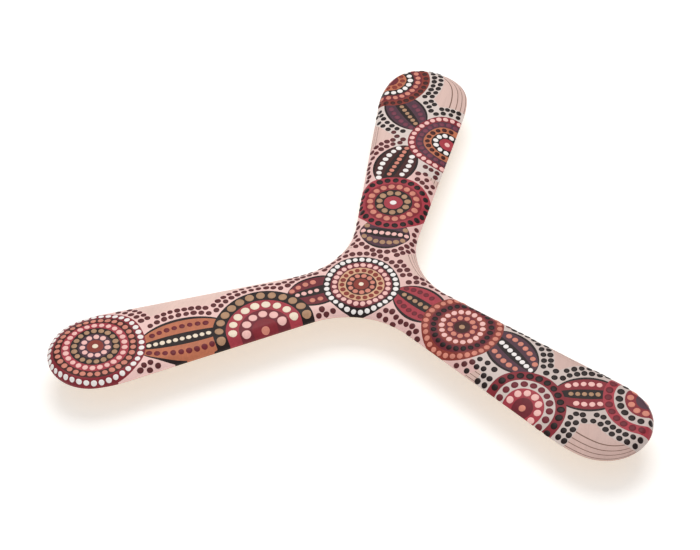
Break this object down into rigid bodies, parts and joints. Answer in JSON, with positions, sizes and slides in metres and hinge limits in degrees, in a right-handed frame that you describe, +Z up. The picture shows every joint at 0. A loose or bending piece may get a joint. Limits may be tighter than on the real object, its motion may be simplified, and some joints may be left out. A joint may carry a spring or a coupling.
{
  "type": "three-blade boomerang",
  "caption": "Flat plywood tri-blade boomerang with airfoil-shaped blades, a bare flat underside and a painted upper face.",
  "frame": {"origin": "hub centre on the flat underside", "axes": "+Z up through the painted airfoil face; +Y along the first blade; the other two blades lie 120 degrees apart"},
  "size_m": [0.248, 0.2206, 0.0041],
  "materials": {
    "face_veneer": "bare birch veneer, clear varnish",
    "cross_veneer": "bare birch veneer, end grain at the rim",
    "glue": "dark phenolic adhesive film",
    "paint": "satin acrylic paint with raised paint dots"
  },
  "bodies": {
    "root": {"bottom_face_veneer": "face_veneer", "glue_line_1": "glue", "lower_cross_veneer": "cross_veneer", "glue_line_2": "glue", "core_veneer": "face_veneer", "glue_line_3": "glue", "upper_cross_veneer": "cross_veneer", "glue_line_4": "glue", "top_face_veneer": "face_veneer", "paint_coat": "paint"}
  },
  "joints": []
}
